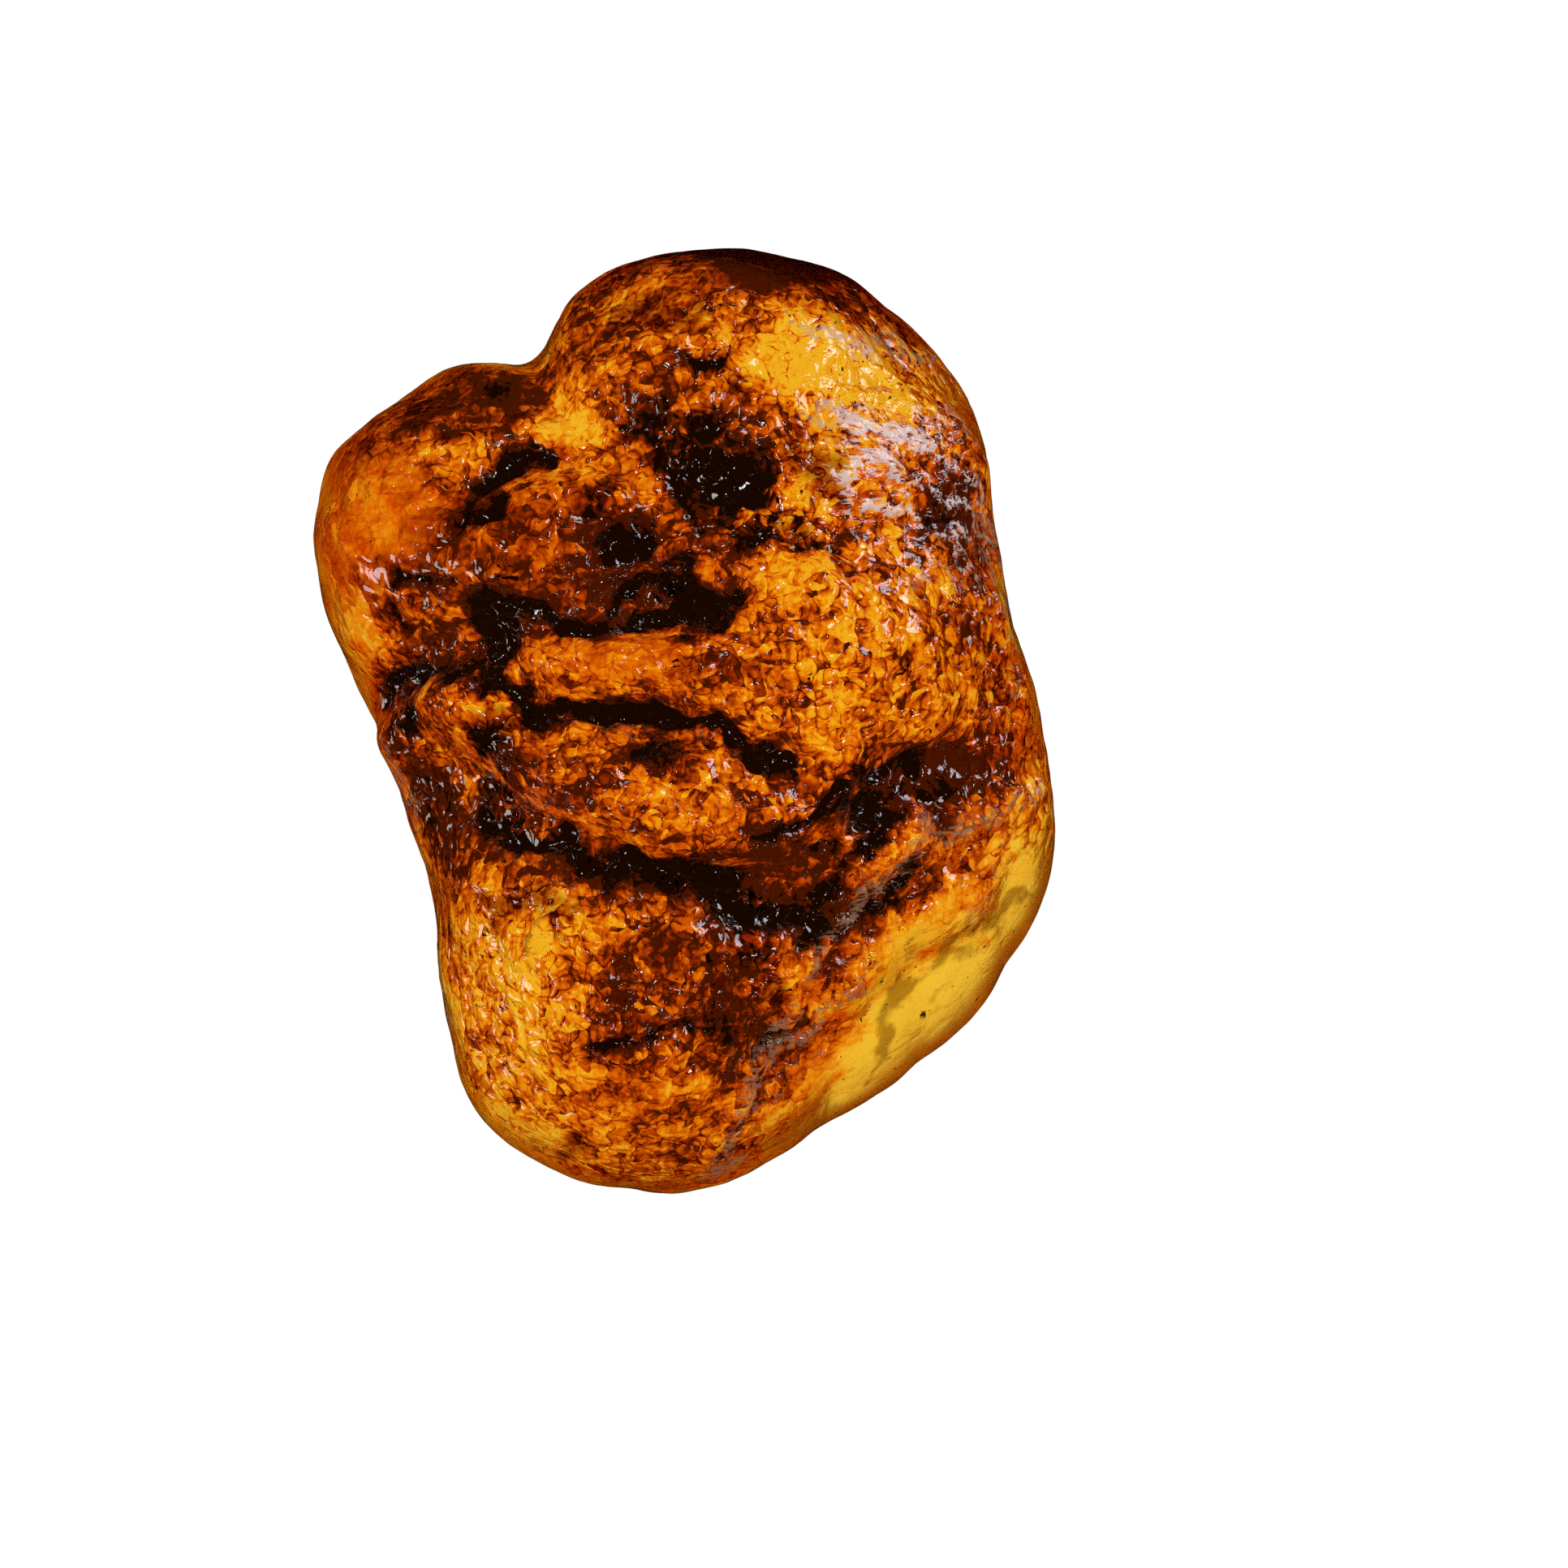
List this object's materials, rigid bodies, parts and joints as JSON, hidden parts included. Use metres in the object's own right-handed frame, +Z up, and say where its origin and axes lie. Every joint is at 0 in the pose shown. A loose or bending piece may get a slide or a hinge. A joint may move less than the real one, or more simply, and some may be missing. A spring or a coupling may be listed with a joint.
{
  "type": "raw amber piece",
  "caption": "Unworked translucent amber nugget, a rounded lump with furrows, dark pitted patches and a thin bevelled edge, lying on its back.",
  "frame": {"origin": "middle of the bounding box at its base, on the plane the nugget rests on", "axes": "+Z up, away from the resting flat and out through the furrowed face; +Y along the length, towards the broad two-lobed end; +X across the width, towards the thin bevelled edge"},
  "size_m": [0.039, 0.05, 0.024],
  "materials": {
    "amber": "raw amber, wet-looking gloss over a fine pebbled skin",
    "char": "black charred rind and dirt sealed in the furrows, glossy where the resin runs over it"
  },
  "bodies": {
    "root": {"amber_nugget": "amber"}
  },
  "joints": []
}
